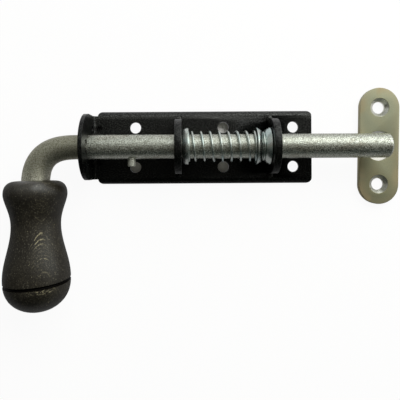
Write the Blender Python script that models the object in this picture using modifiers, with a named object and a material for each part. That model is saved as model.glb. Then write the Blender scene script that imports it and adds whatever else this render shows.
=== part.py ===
"""A spring bolt: a round bolt bent into a leg with a turned handle, guided by three lugs on a
pressed backplate, pushed home by a coil spring between cupped washers, with its loose strike plate.

Frame: +Z up from the surface that the backplate is screwed to, +X along the bolt towards its tip.
The origin is on that surface, halfway along the edge of the backplate's handle-side flange.
All sizes are metres.
"""

import math

import bmesh
import bpy
from mathutils import Matrix, Vector

# Backplate: sheet steel with both long edges turned down and its left end folded up as a lug
PLATE_LENGTH = 0.1518
PLATE_WIDTH = 0.050
SHEET = 0.0025
BEND_INSIDE = 0.0023
PLATE_HEIGHT = 0.0050
SHOULDER_CORNER = 0.0034
SHOULDER_RELIEF = 0.0006
LEFT_LUG_INSET = 0.0033
FOLD_OVERLAP = 0.0010
DART_RADIUS = 0.0017
DART_REACH = 0.0048

# Screw holes of the backplate, from its right end
HOLE_DIAMETER = 0.0076
HOLE_END_INSET = 0.0127
HOLE_PITCH_RIGHT = 0.0479
HOLE_PITCH_LEFT = 0.0600
HOLE_EDGE_INSET = 0.0115

# Middle and right lugs: stamped plates that come up through slots in the backplate
LUG_INSET = 0.0070
LUG_THICKNESS = 0.0045
LUG_FOOT_INSET = 0.0035
LUG_FOOT_SINK = 0.0004
RIGHT_LUG_INSET = 0.0284
LUG_SPACING = 0.0625
BEAD_LENGTH = 0.0034
BEAD_HEIGHT = 0.0012

# Bolt: round bar, its left part bent down into the leg that carries the handle
BOLT_DIAMETER = 0.0160
AXIS_ABOVE_PLATE = 0.0132
TIP_REACH = 0.0498
TIP_ROUND = 0.0022
TIP_FLAT_DIAMETER = 0.0124
LEG_OFFSET = 0.0325
ELBOW_RUN = 0.0298
ELBOW_DROP = 0.0290
ELBOW_FULLNESS = 2.87
LEG_DIAMETER = 0.0180
LEG_LEAN = math.radians(1.9)
TANG_DIAMETER = 0.0100
TANG_CHAMFER = 0.0010
TANG_END_SHARE = 0.75

# Stop pin, pressed into the bolt between the left and middle lugs
PIN_DIAMETER = 0.0052
PIN_REACH = 0.0129
PIN_ROOT = 0.0010
PIN_FROM_LEFT_LUG = 0.0279
PIN_EDGE_ROUND = 0.0005

# Keyhole slot of the left lug, which lets the pin through when the handle is up
SLOT_ANGLE = math.radians(8.0)

# Cupped washers and the ring that holds the front pair on the bolt
CUP_DIAMETER = 0.0244
CUP_BACK_DIAMETER = 0.0184
CUP_DEPTH = 0.0041
CUP_WALL = 0.0009
CUP_BORE = 0.0171
CUP_ROUNDNESS = 0.6
RING_THICKNESS = 0.0008
RING_DIAMETER = 0.0196
RING_GAP_ANGLE = math.radians(38.0)
RING_GROOVE_DEPTH = 0.0008

# Compression spring
WIRE_DIAMETER = 0.0015
SPRING_MEAN_DIAMETER = 0.01916
SPRING_SEAT_DEPTH = 0.0006
SPRING_PITCH = 0.00588
END_TURN_PITCH = 0.0018
END_TURNS = 1.0
SPRING_START = math.radians(8)

# Handle, turned, with a fluted waist and a scored line above its domed end
HANDLE_FROM_AXIS = 0.0221
HANDLE_LENGTH = 0.0837
HANDLE_TOP_DIAMETER = 0.0260
HANDLE_TOP_BULGE = 0.0401
HANDLE_TOP_BULGE_AT = 0.0086
HANDLE_TOP_FULLNESS = 2.5
HANDLE_WAIST = 0.0310
HANDLE_WAIST_AT = 0.0285
HANDLE_WAIST_SKEW = 0.8
HANDLE_LOW_BULGE = 0.0422
HANDLE_LOW_BULGE_AT = 0.0625
HANDLE_DOME_FULLNESS = 2.4
GROOVE_AT = 0.0635
GROOVE_WIDTH = 0.0014
GROOVE_DEPTH = 0.0008
LEG_SOCKET_DEPTH = 0.0140
TANG_SOCKET_DEPTH = 0.0560

# Strike plate, loose, with a bolt hole and two countersunk screw holes
STRIKE_LENGTH = 0.0801
STRIKE_WIDTH = 0.0271
STRIKE_THICKNESS = 0.0040
STRIKE_HOLE_DIAMETER = 0.0204
STRIKE_SCREW_DIAMETER = 0.0082
STRIKE_COUNTERSINK = 0.0131
STRIKE_SCREW_PITCH = 0.0528
STRIKE_FROM_PLATE = 0.0469
STRIKE_SIDE_SHIFT = 0.0003
STRIKE_TURN = math.radians(-1.2)

# Clearances
RUNNING_CLEARANCE = 0.0003
TOUCH_GAP = 0.0003
PIN_CLEARANCE = 0.0002
RING_CLEARANCE = 0.0002
RING_SIDE_GAP = 0.0002
SOCKET_CLEARANCE = 0.0003
SLOT_CLEARANCE = 0.0004
HANDLE_REST_GAP = 0.0001
CUT_MARGIN = 0.0020

# Facets of round work
BAR_SIDES = 32
TURNED_STEPS = 48
HOLE_SIDES = 40
BEND_STEPS = 7
ELBOW_STEPS = 16
TIP_STEPS = 5
HANDLE_SHOULDER_STEPS = 6
HANDLE_WAIST_STEPS = 18
HANDLE_DOME_STEPS = 9
CUP_STEPS = 7
COIL_STEPS = 20

# Places worked out from the sizes above
BEND_OUTSIDE = BEND_INSIDE + SHEET
LEFT_LUG_WIDTH = PLATE_WIDTH - 2 * LEFT_LUG_INSET
DART_OFFSET = LEFT_LUG_WIDTH / 4
HOLE_ROW_PITCH = PLATE_WIDTH - 2 * HOLE_EDGE_INSET
LUG_WIDTH = PLATE_WIDTH - 2 * LUG_INSET
LUG_FOOT_WIDTH = PLATE_WIDTH - 2 * LUG_FOOT_INSET
PLATE_RIGHT = PLATE_LENGTH / 2
PLATE_LEFT = -PLATE_LENGTH / 2
LUG_INNER_FACE = PLATE_LEFT + SHEET
SHOULDER_X = PLATE_LEFT + BEND_OUTSIDE + SHOULDER_RELIEF
AXIS_Y = (PLATE_WIDTH - SHEET) / 2
AXIS_Z = PLATE_HEIGHT + AXIS_ABOVE_PLATE
BOLT_RADIUS = BOLT_DIAMETER / 2
BORE_RADIUS = BOLT_RADIUS + RUNNING_CLEARANCE
RIGHT_LUG_X = PLATE_RIGHT - RIGHT_LUG_INSET
MIDDLE_LUG_X = RIGHT_LUG_X - LUG_SPACING
TIP_X = PLATE_RIGHT + TIP_REACH
LEG_X = PLATE_LEFT - LEG_OFFSET
PIN_X = LUG_INNER_FACE + PIN_FROM_LEFT_LUG

SEAT_CUP_BACK = MIDDLE_LUG_X + LUG_THICKNESS / 2 + TOUCH_GAP
STOP_CUP_BACK = RIGHT_LUG_X - LUG_THICKNESS / 2 - TOUCH_GAP - CUP_DEPTH
RING_X = STOP_CUP_BACK - RING_SIDE_GAP - RING_THICKNESS
THRUST_CUP_BACK = RING_X - RING_SIDE_GAP
SPRING_LEFT = SEAT_CUP_BACK + CUP_DEPTH - SPRING_SEAT_DEPTH
SPRING_RIGHT = THRUST_CUP_BACK - CUP_DEPTH + SPRING_SEAT_DEPTH


def raise_to_rest(reach, radius):
    """Angle above level at which a bulge of the handle, that far from the axis, meets the surface."""
    return math.acos((AXIS_Z - HANDLE_REST_GAP) / math.hypot(reach, radius)) - math.atan2(reach, radius)


# The handle swings down until one of its bulges meets the mounting surface
REST_RAISE = max(
    raise_to_rest(HANDLE_FROM_AXIS + HANDLE_TOP_BULGE_AT, HANDLE_TOP_BULGE / 2),
    raise_to_rest(HANDLE_FROM_AXIS + HANDLE_LOW_BULGE_AT, HANDLE_LOW_BULGE / 2),
)

# Local axes of a flat outline (first two columns) and of its extrusion (third column)
AXIS_ALONG_X = Matrix(((0, 0, 1), (1, 0, 0), (0, 1, 0))).to_4x4()
AXIS_ALONG_MINUS_Y = Matrix(((1, 0, 0), (0, 0, -1), (0, 1, 0))).to_4x4()
AXIS_ALONG_MINUS_X = Matrix(((0, 0, -1), (1, 0, 0), (0, -1, 0))).to_4x4()


def clear_scene():
    """Empties the scene and makes the collections for the parts and for the cutters."""
    for obj in list(bpy.data.objects):
        bpy.data.objects.remove(obj, do_unlink=True)
    parts = bpy.data.collections.new("spring_bolt")
    cutters = bpy.data.collections.new("cutters")
    bpy.context.scene.collection.children.link(parts)
    bpy.context.scene.collection.children.link(cutters)
    return parts, cutters


def make_material(name, colour, roughness, metallic):
    material = bpy.data.materials.new(name)
    material.use_nodes = True
    shader = material.node_tree.nodes["Principled BSDF"]
    shader.inputs["Base Color"].default_value = (*colour, 1.0)
    shader.inputs["Roughness"].default_value = roughness
    shader.inputs["Metallic"].default_value = metallic
    return material


def arc(centre_x, centre_y, radius, start, end, steps):
    """Points of an arc from start to end, both angles in degrees and both ends included."""
    points = []
    for step in range(steps + 1):
        angle = math.radians(start + (end - start) * step / steps)
        points.append((centre_x + radius * math.cos(angle), centre_y + radius * math.sin(angle)))
    return points


def circle(centre_x, centre_y, radius, sides=HOLE_SIDES):
    return arc(centre_x, centre_y, radius, 0, 360, sides)[:-1]


def rounded_rectangle(left, bottom, right, top, radius):
    corners = [(right, top, 0), (left, top, 90), (left, bottom, 180), (right, bottom, 270)]
    points = []
    for x, y, start in corners:
        centre_x = x - math.copysign(radius, x - (left + right) / 2)
        centre_y = y - math.copysign(radius, y - (bottom + top) / 2)
        points += arc(centre_x, centre_y, radius, start, start + 90, BEND_STEPS)
    return points


class Workshop:
    """Makes the objects and files each under its collection."""

    def __init__(self):
        self.parts, self.cutters = clear_scene()

    def empty(self, name, matrix, parent=None):
        obj = bpy.data.objects.new(name, None)
        obj.empty_display_size = BOLT_DIAMETER
        self.parts.objects.link(obj)
        obj.parent = parent
        obj.matrix_local = matrix
        return obj

    def add(self, name, mesh, matrix, parent=None, material=None):
        """A part if it has a material, and otherwise a cutter."""
        obj = bpy.data.objects.new(name, mesh)
        if material:
            self.parts.objects.link(obj)
            mesh.materials.clear()
            mesh.materials.append(material)
        else:
            self.cutters.objects.link(obj)
            obj.hide_render = True
            obj.display_type = "WIRE"
        obj.parent = parent
        obj.matrix_local = matrix
        return obj

    def mesh_of_curve(self, curve):
        """The curve's evaluated mesh, with its caps welded to its sides."""
        obj = bpy.data.objects.new("outline", curve)
        self.cutters.objects.link(obj)
        bpy.context.view_layer.update()
        graph = bpy.context.evaluated_depsgraph_get()
        mesh = bpy.data.meshes.new_from_object(obj.evaluated_get(graph))
        bpy.data.objects.remove(obj, do_unlink=True)
        work = bmesh.new()
        work.from_mesh(mesh)
        bmesh.ops.remove_doubles(work, verts=work.verts, dist=1e-7)
        bmesh.ops.recalc_face_normals(work, faces=work.faces)
        work.to_mesh(mesh)
        work.free()
        return mesh

    def plate(self, outlines, thickness):
        """A flat plate from a closed outline and the outlines of its holes, centred on its plane."""
        curve = bpy.data.curves.new("outline", "CURVE")
        curve.dimensions = "2D"
        curve.fill_mode = "BOTH"
        curve.extrude = thickness / 2
        for outline in outlines:
            spline = curve.splines.new("POLY")
            spline.points.add(len(outline) - 1)
            spline.use_cyclic_u = True
            for point, (x, y) in zip(spline.points, outline):
                point.co = (x, y, 0, 1)
        return self.mesh_of_curve(curve)

    def bar(self, stations, radius, sides):
        """A round bar along stations of (place, share of the radius)."""
        curve = bpy.data.curves.new("bar", "CURVE")
        curve.dimensions = "3D"
        curve.bevel_depth = radius
        curve.bevel_resolution = (sides - 4) // 2
        curve.use_fill_caps = True
        spline = curve.splines.new("POLY")
        spline.points.add(len(stations) - 1)
        for point, (place, share) in zip(spline.points, stations):
            point.co = (*place, 1)
            point.radius = share
        return self.mesh_of_curve(curve)

    def turned(self, name, profile, matrix, parent, material=None, closed=True, steps=TURNED_STEPS):
        """A profile of (radius, height) points turned about its local Z axis by a Screw modifier."""
        mesh = bpy.data.meshes.new(name)
        edges = [(i, i + 1) for i in range(len(profile) - 1)]
        if closed:
            edges.append((len(profile) - 1, 0))
        mesh.from_pydata([(radius, 0, height) for radius, height in profile], edges, [])
        obj = self.add(name, mesh, matrix, parent, material)
        screw = obj.modifiers.new("Turn", "SCREW")
        screw.steps = steps
        screw.render_steps = steps
        screw.use_merge_vertices = True
        screw.merge_threshold = 0.00001
        screw.use_smooth_shade = True
        return obj

    def rod_cutter(self, name, radius, length, matrix, parent=None, tip_radius=None):
        """A cylinder, or a cone to tip_radius, centred on its local Z axis."""
        work = bmesh.new()
        bmesh.ops.create_cone(
            work,
            cap_ends=True,
            segments=HOLE_SIDES,
            radius1=radius,
            radius2=radius if tip_radius is None else tip_radius,
            depth=length,
        )
        mesh = bpy.data.meshes.new(name)
        work.to_mesh(mesh)
        work.free()
        return self.add(name, mesh, matrix, parent)


def boolean(obj, other, operation, name):
    modifier = obj.modifiers.new(name, "BOOLEAN")
    modifier.operation = operation
    modifier.object = other
    modifier.solver = "EXACT"


def soften(obj, angle=math.radians(35)):
    obj.data.shade_smooth()
    obj.data.set_sharp_from_angle(angle=angle)


def channel_section():
    """The backplate's cross section: web on top, a flange turned down at each side."""
    half = PLATE_WIDTH / 2
    bend_y = half - BEND_OUTSIDE
    bend_z = PLATE_HEIGHT - BEND_OUTSIDE
    outer = arc(bend_y, bend_z, BEND_OUTSIDE, 0, 90, BEND_STEPS)
    inner = arc(bend_y, bend_z, BEND_INSIDE, 90, 0, BEND_STEPS)
    right = [(half, 0)] + outer
    back = inner + [(half - SHEET, 0)]
    mirrored_outer = [(-y, z) for y, z in reversed(right)]
    mirrored_inner = [(-y, z) for y, z in reversed(back)]
    return right + mirrored_outer + mirrored_inner + back


def fold_section():
    """Side profile of the strip that runs out of the web and folds up as the left lug."""
    bend_x = LUG_INNER_FACE + BEND_INSIDE
    bend_z = PLATE_HEIGHT + BEND_INSIDE
    top = AXIS_Z + LEFT_LUG_WIDTH
    start = SHOULDER_X + FOLD_OVERLAP
    under = PLATE_HEIGHT - SHEET
    outside = arc(bend_x, bend_z, BEND_OUTSIDE, 270, 180, BEND_STEPS)
    inside = arc(bend_x, bend_z, BEND_INSIDE, 180, 270, BEND_STEPS)
    return [(start, under)] + outside + [(PLATE_LEFT, top), (LUG_INNER_FACE, top)] + inside + [
        (start, PLATE_HEIGHT)
    ]


def tongue_outline(width, bottom):
    """A plate with straight sides up to the bolt's axis and a half-round top about it."""
    half = width / 2
    return [(half, bottom)] + arc(0, AXIS_Z, half, 0, 180, HOLE_SIDES // 2) + [(-half, bottom)]


def keyhole_outline():
    """The left lug's bore with the slot that the stop pin passes through."""
    half = PIN_DIAMETER / 2 + SLOT_CLEARANCE
    reach = PIN_REACH + SLOT_CLEARANCE
    spread = math.degrees(math.asin(half / BORE_RADIUS))
    bore = arc(0, 0, BORE_RADIUS, 90 + spread, 450 - spread, HOLE_SIDES)
    end = arc(0, reach - half, half, 0, 180, BEND_STEPS)
    turn = Matrix.Rotation(-SLOT_ANGLE, 2)
    return [tuple(turn @ Vector(point)) for point in bore + end]


def cup_profile():
    """Section of a cupped washer, its back at height 0 and its rim at the top."""
    rim = CUP_DIAMETER / 2
    back = CUP_BACK_DIAMETER / 2
    outer = []
    inner = []
    for step in range(CUP_STEPS + 1):
        share = step / CUP_STEPS
        height = share * share * CUP_DEPTH
        radius = back + (rim - back) * share ** (2 * CUP_ROUNDNESS)
        outer.append((radius, height))
        if height > CUP_WALL:
            inner.append((radius - CUP_WALL, height))
    floor = [(outer[1][0] - CUP_WALL, CUP_WALL), (CUP_BORE / 2, CUP_WALL)]
    return list(reversed(outer)) + [(CUP_BORE / 2, 0)] + list(reversed(floor)) + inner


def handle_radius(depth):
    """Outside radius of the handle at a depth below its top face."""
    top = HANDLE_TOP_DIAMETER / 2
    bulge = HANDLE_TOP_BULGE / 2
    waist = HANDLE_WAIST / 2
    low = HANDLE_LOW_BULGE / 2
    if depth <= HANDLE_TOP_BULGE_AT:
        share = 1 - depth / HANDLE_TOP_BULGE_AT
        return top + (bulge - top) * math.sqrt(max(0.0, 1 - share**HANDLE_TOP_FULLNESS))
    if depth <= HANDLE_WAIST_AT:
        share = ((depth - HANDLE_TOP_BULGE_AT) / (HANDLE_WAIST_AT - HANDLE_TOP_BULGE_AT)) ** HANDLE_WAIST_SKEW
        return waist + (bulge - waist) * (1 + math.cos(math.pi * share)) / 2
    if depth <= HANDLE_LOW_BULGE_AT:
        share = (depth - HANDLE_WAIST_AT) / (HANDLE_LOW_BULGE_AT - HANDLE_WAIST_AT)
        return waist + (low - waist) * (1 - math.cos(math.pi * share)) / 2
    share = (depth - HANDLE_LOW_BULGE_AT) / (HANDLE_LENGTH - HANDLE_LOW_BULGE_AT)
    return low * math.sqrt(max(0.0, 1 - share**HANDLE_DOME_FULLNESS))


def handle_profile():
    """Half section of the handle, down its outside and back up its stepped socket."""
    depths = [HANDLE_TOP_BULGE_AT * (1 - math.cos(math.pi / 2 * i / HANDLE_SHOULDER_STEPS))
              for i in range(HANDLE_SHOULDER_STEPS + 1)]
    waist_run = HANDLE_LOW_BULGE_AT - HANDLE_TOP_BULGE_AT
    depths += [HANDLE_TOP_BULGE_AT + waist_run * i / HANDLE_WAIST_STEPS
               for i in range(1, HANDLE_WAIST_STEPS + 1)]
    half_groove = GROOVE_WIDTH / 2
    groove = [GROOVE_AT - half_groove, GROOVE_AT, GROOVE_AT + half_groove]
    depths = [d for d in depths if abs(d - GROOVE_AT) > GROOVE_WIDTH]
    dome = HANDLE_LENGTH - GROOVE_AT - half_groove
    dome_depths = [groove[2] + dome * math.sin(math.pi / 2 * i / HANDLE_DOME_STEPS)
                   for i in range(1, HANDLE_DOME_STEPS)]
    points = [(HANDLE_TOP_DIAMETER / 2, 0)]
    points += [(handle_radius(d), -d) for d in depths[1:]]
    points.append((handle_radius(groove[0]), -groove[0]))
    points.append((handle_radius(groove[1]) - GROOVE_DEPTH, -groove[1]))
    points.append((handle_radius(groove[2]), -groove[2]))
    points += [(handle_radius(d), -d) for d in dome_depths]
    points.append((0, -HANDLE_LENGTH))
    tang_bore = TANG_DIAMETER / 2 + SOCKET_CLEARANCE
    leg_bore = LEG_DIAMETER / 2 + SOCKET_CLEARANCE
    socket = [(0, -TANG_SOCKET_DEPTH), (tang_bore, -TANG_SOCKET_DEPTH)]
    socket += [(tang_bore, -LEG_SOCKET_DEPTH), (leg_bore, -LEG_SOCKET_DEPTH), (leg_bore, 0)]
    return points, socket


def bolt_stations():
    """Centre line of the bolt from its tip, round the elbow and down to the tang's end."""
    stations = []
    flat_share = TIP_FLAT_DIAMETER / BOLT_DIAMETER
    for step in range(TIP_STEPS + 1):
        angle = math.pi / 2 * step / TIP_STEPS
        x = TIP_X - TIP_ROUND * (1 - math.cos(angle))
        stations.append(((x, 0, 0), flat_share + (1 - flat_share) * math.sin(angle)))
    leg_share = LEG_DIAMETER / BOLT_DIAMETER
    start_x = LEG_X - math.tan(LEG_LEAN) * HANDLE_FROM_AXIS + ELBOW_RUN
    for step in range(ELBOW_STEPS + 1):
        angle = math.pi / 2 * step / ELBOW_STEPS
        run = math.sin(angle) ** (2 / ELBOW_FULLNESS)
        drop = ELBOW_DROP * (1 - math.cos(angle) ** (2 / ELBOW_FULLNESS))
        x = start_x - ELBOW_RUN * run + math.tan(LEG_LEAN) * drop
        bent = step / ELBOW_STEPS
        share = 1 + (leg_share - 1) * bent * bent * (3 - 2 * bent)
        stations.append(((x, -drop, 0), share))
    corner = Vector(stations[-1][0])
    down = Vector((math.sin(LEG_LEAN), -math.cos(LEG_LEAN), 0))
    shoulder = LEG_SOCKET_DEPTH - SOCKET_CLEARANCE - (ELBOW_DROP - HANDLE_FROM_AXIS)
    tang_share = TANG_DIAMETER / BOLT_DIAMETER
    end = TANG_SOCKET_DEPTH - SOCKET_CLEARANCE - (ELBOW_DROP - HANDLE_FROM_AXIS)
    step_run = (LEG_DIAMETER - TANG_DIAMETER) / 4
    stations.append((corner + down * (shoulder - step_run), leg_share))
    stations.append((corner + down * shoulder, tang_share))
    stations.append((corner + down * (end - TANG_CHAMFER), tang_share))
    stations.append((corner + down * end, tang_share * TANG_END_SHARE))
    return stations


def spring_stations():
    """Centre line of the spring: closed end turns at both seats and even turns between."""
    active = (SPRING_RIGHT - SPRING_LEFT - 2 * END_TURNS * END_TURN_PITCH) / SPRING_PITCH
    turns = active + 2 * END_TURNS
    count = round(turns * COIL_STEPS)
    stations = []
    for step in range(count + 1):
        turn = turns * step / count
        closed_left = min(turn, END_TURNS)
        closed_right = max(0.0, turn - END_TURNS - active)
        open_turns = turn - closed_left - closed_right
        x = SPRING_LEFT + (closed_left + closed_right) * END_TURN_PITCH + open_turns * SPRING_PITCH
        angle = SPRING_START + 2 * math.pi * turn
        radius = SPRING_MEAN_DIAMETER / 2
        stations.append(((x, radius * math.cos(angle), radius * math.sin(angle)), 1.0))
    return stations


def build_backplate(shop, material):
    """Channel cut to its plan, then the folded lug and its darts joined and the keyhole cut."""
    length = PLATE_RIGHT - SHOULDER_X
    middle = (PLATE_RIGHT + SHOULDER_X) / 2
    centre = Matrix.Translation((0, AXIS_Y, 0))
    place = centre @ Matrix.Translation((middle, 0, 0)) @ AXIS_ALONG_X
    plate = shop.add("backplate", shop.plate([channel_section()], length), place, None, material)

    half = PLATE_WIDTH / 2
    plan = [rounded_rectangle(SHOULDER_X, -half, PLATE_RIGHT, half, SHOULDER_CORNER)]
    first = PLATE_RIGHT - HOLE_END_INSET
    for x in (first, first - HOLE_PITCH_RIGHT, first - HOLE_PITCH_RIGHT - HOLE_PITCH_LEFT):
        plan.append(circle(x, -HOLE_ROW_PITCH / 2, HOLE_DIAMETER / 2))
        plan.append(circle(x, HOLE_ROW_PITCH / 2, HOLE_DIAMETER / 2))
    for x in (MIDDLE_LUG_X, RIGHT_LUG_X):
        width = LUG_FOOT_WIDTH / 2 + TOUCH_GAP
        depth = LUG_THICKNESS / 2 + TOUCH_GAP
        plan.append(rounded_rectangle(x - depth, -width, x + depth, width, TOUCH_GAP))
    trim = shop.add("plan_trim", shop.plate(plan, 4 * PLATE_HEIGHT), centre)
    boolean(plate, trim, "INTERSECT", "Corners, screw holes and lug slots")

    strip_mesh = shop.plate([fold_section()], 2 * PLATE_WIDTH)
    strip = shop.add("lug_strip", strip_mesh, centre @ AXIS_ALONG_MINUS_Y)
    outline = tongue_outline(LEFT_LUG_WIDTH, -PLATE_HEIGHT)
    tongue_place = centre @ Matrix.Translation((PLATE_LEFT, 0, 0)) @ AXIS_ALONG_X
    tongue = shop.add("lug_outline", shop.plate([outline], PLATE_WIDTH), tongue_place)
    boolean(strip, tongue, "INTERSECT", "Lug outline")
    boolean(plate, strip, "UNION", "Folded lug")

    corner = Vector((LUG_INNER_FACE, 0, PLATE_HEIGHT))
    slope = Matrix.Rotation(math.radians(-45), 4, "Y")
    for side in (-1, 1):
        spot = corner + Vector((DART_REACH / 2, side * DART_OFFSET, DART_REACH / 2))
        run = math.sqrt(2) * (DART_REACH + SHEET / 2)
        dart_place = centre @ Matrix.Translation(spot) @ slope
        dart = shop.rod_cutter(f"dart_{side}", DART_RADIUS, run, dart_place)
        boolean(plate, dart, "UNION", "Dart")

    keyhole_place = Matrix.Translation((LUG_INNER_FACE, AXIS_Y, AXIS_Z)) @ AXIS_ALONG_X
    keyhole_mesh = shop.plate([keyhole_outline()], 2 * SHEET + 2 * CUT_MARGIN)
    keyhole = shop.add("keyhole", keyhole_mesh, keyhole_place)
    boolean(plate, keyhole, "DIFFERENCE", "Keyhole")
    soften(plate)


def build_lug(shop, name, x, material):
    """A stamped lug with its bore, on a wider foot that fills its slot, beads at the foot's ends."""
    under = PLATE_HEIGHT - SHEET
    foot_top = PLATE_HEIGHT - LUG_FOOT_SINK
    foot = LUG_FOOT_WIDTH / 2
    tongue = tongue_outline(LUG_WIDTH, foot_top)
    outline = [(foot, under), (foot, foot_top)] + tongue + [(-foot, foot_top), (-foot, under)]
    bore = circle(0, AXIS_Z, BORE_RADIUS, TURNED_STEPS)
    place = Matrix.Translation((x, AXIS_Y, 0)) @ AXIS_ALONG_X
    lug = shop.add(name, shop.plate([outline, bore], LUG_THICKNESS), place, None, material)
    bead_y = (foot + LUG_WIDTH / 2) / 2
    for side in (-1, 1):
        work = bmesh.new()
        bmesh.ops.create_uvsphere(work, u_segments=16, v_segments=10, radius=0.5)
        bead = bpy.data.meshes.new("bead")
        size = Matrix.Diagonal((LUG_THICKNESS - TOUCH_GAP, BEAD_LENGTH, 2 * BEAD_HEIGHT, 1))
        bmesh.ops.transform(work, matrix=size, verts=work.verts)
        work.to_mesh(bead)
        work.free()
        spot = Matrix.Translation((x, AXIS_Y + side * bead_y, foot_top - BEAD_HEIGHT / 6))
        boolean(lug, shop.add(f"{name}_bead_{side}", bead, spot), "UNION", "Weld bead")
    soften(lug)


def build_cup(shop, name, back_x, rim_side, parent, material):
    """A cupped washer whose rim faces +X where rim_side is 1 and -X where it is -1."""
    turn = AXIS_ALONG_X if rim_side > 0 else AXIS_ALONG_MINUS_X
    place = Matrix.Translation((back_x, 0, 0)) @ turn
    shop.turned(name, cup_profile(), place, parent, material, steps=HOLE_SIDES)


def build_bolt(shop, parent, material):
    """The bent bar, with the groove for its ring and the hole for its pin."""
    bolt = shop.add("bolt_rod", shop.bar(bolt_stations(), BOLT_RADIUS, BAR_SIDES), Matrix(), parent, material)
    floor = BOLT_RADIUS - RING_GROOVE_DEPTH
    brim = BOLT_RADIUS + CUT_MARGIN
    width = RING_THICKNESS + 2 * RING_SIDE_GAP
    section = [(brim, width), (brim, 0), (floor, 0), (floor, width)]
    groove_place = Matrix.Translation((RING_X - RING_SIDE_GAP, 0, 0)) @ AXIS_ALONG_X
    groove = shop.turned("ring_groove", section, groove_place, parent)
    boolean(bolt, groove, "DIFFERENCE", "Ring groove")
    depth = BOLT_RADIUS + CUT_MARGIN - PIN_ROOT
    spot = Matrix.Translation((PIN_X, -PIN_ROOT - depth / 2, 0)) @ Matrix.Rotation(math.pi / 2, 4, "X")
    drill = shop.rod_cutter("pin_hole", PIN_DIAMETER / 2 + PIN_CLEARANCE, depth, spot, parent)
    boolean(bolt, drill, "DIFFERENCE", "Pin hole")
    soften(bolt)


def build_pin(shop, parent, material):
    """The stop pin, standing out of the bolt on the handle's side, its end rounded."""
    radius = PIN_DIAMETER / 2
    root = PIN_ROOT + PIN_CLEARANCE
    profile = [(0, -root), (radius, -root)]
    profile += arc(radius - PIN_EDGE_ROUND, PIN_EDGE_ROUND - PIN_REACH, PIN_EDGE_ROUND, 0, -90, 4)
    profile.append((0, -PIN_REACH))
    place = Matrix.Translation((PIN_X, 0, 0)) @ Matrix.Rotation(-math.pi / 2, 4, "X")
    shop.turned("stop_pin", profile, place, parent, material, closed=False, steps=HOLE_SIDES)


def build_ring(shop, parent, material):
    """The split ring in the bolt's groove that both front washers bear on."""
    half_gap = math.degrees(RING_GAP_ANGLE) / 2
    inner = BOLT_RADIUS - RING_GROOVE_DEPTH + RING_CLEARANCE
    outline = arc(0, 0, RING_DIAMETER / 2, half_gap, 360 - half_gap, TURNED_STEPS)
    outline += arc(0, 0, inner, 360 - half_gap, half_gap, TURNED_STEPS)
    mesh = shop.plate([outline], RING_THICKNESS)
    place = Matrix.Translation((RING_X + RING_THICKNESS / 2, 0, 0)) @ AXIS_ALONG_X
    shop.add("retaining_ring", mesh, place, parent, material)


def build_handle(shop, parent, material):
    """The turned handle on the bolt's leg."""
    profile, socket = handle_profile()
    top = Vector((LEG_X, -HANDLE_FROM_AXIS, 0))
    up = Vector((-math.sin(LEG_LEAN), math.cos(LEG_LEAN), 0))
    across = Vector((math.cos(LEG_LEAN), math.sin(LEG_LEAN), 0))
    turn = Matrix((across, up.cross(across), up)).transposed().to_4x4()
    place = Matrix.Translation(top) @ turn
    shop.turned("handle_grip", profile + socket, place, parent, material)


def build_strike(shop, material):
    """The loose strike plate: round ended, with its bolt hole and countersunk screw holes."""
    half_run = (STRIKE_LENGTH - STRIKE_WIDTH) / 2
    round_end = STRIKE_WIDTH / 2
    outline = arc(0, half_run, round_end, 0, 180, HOLE_SIDES // 2)
    outline += arc(0, -half_run, round_end, 180, 360, HOLE_SIDES // 2)
    centre_x = PLATE_RIGHT + STRIKE_FROM_PLATE
    place = Matrix.Translation((centre_x, AXIS_Y + STRIKE_SIDE_SHIFT, STRIKE_THICKNESS / 2))
    place = place @ Matrix.Rotation(STRIKE_TURN, 4, "Z")
    hole = circle(0, 0, STRIKE_HOLE_DIAMETER / 2)
    strike = shop.add("strike_plate", shop.plate([outline, hole], STRIKE_THICKNESS), place, None, material)
    for side in (-1, 1):
        spot = place @ Matrix.Translation((0, side * STRIKE_SCREW_PITCH / 2, 0))
        drill = shop.rod_cutter(f"strike_drill_{side}", STRIKE_SCREW_DIAMETER / 2, 3 * STRIKE_THICKNESS, spot)
        boolean(strike, drill, "DIFFERENCE", "Screw hole")
        sink = (STRIKE_COUNTERSINK - STRIKE_SCREW_DIAMETER) / 2
        deep = STRIKE_THICKNESS / 2 - sink / 2 + CUT_MARGIN / 2
        cone = shop.rod_cutter(
            f"strike_sink_{side}",
            STRIKE_SCREW_DIAMETER / 2,
            sink + CUT_MARGIN,
            spot @ Matrix.Translation((0, 0, deep)),
            None,
            STRIKE_COUNTERSINK / 2 + CUT_MARGIN,
        )
        boolean(strike, cone, "DIFFERENCE", "Countersink")
    soften(strike)


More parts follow.
